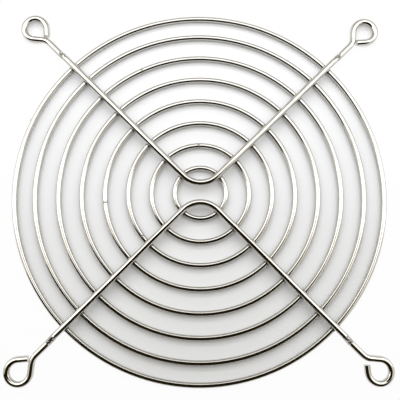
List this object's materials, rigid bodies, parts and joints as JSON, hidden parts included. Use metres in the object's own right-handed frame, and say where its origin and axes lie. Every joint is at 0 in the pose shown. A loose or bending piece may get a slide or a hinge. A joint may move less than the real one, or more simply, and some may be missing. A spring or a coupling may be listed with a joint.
{
  "type": "wire fan guard",
  "caption": "Flat wire fan guard: concentric round-wire rings welded under V-shaped support wires whose ends are bent into open screw eyes.",
  "frame": {"origin": "on the axis of the rings, in the plane of the fan's face on which rings and eyes lie", "axes": "+Z away from the fan along the screws, +X and +Y along the sides of the square of screw eyes, +Y towards the V of the upper support wire"},
  "size_m": [0.1141, 0.1141, 0.0033],
  "materials": {
    "ring_wire": "bright nickel-plated steel wire",
    "support_wire": "bright nickel-plated steel wire"
  },
  "bodies": {
    "root": {"ring_1": "ring_wire", "ring_2": "ring_wire", "ring_3": "ring_wire", "ring_4": "ring_wire", "ring_5": "ring_wire", "ring_6": "ring_wire", "ring_7": "ring_wire", "ring_8": "ring_wire", "upper_support_wire": "support_wire", "lower_support_wire": "support_wire"}
  },
  "joints": []
}
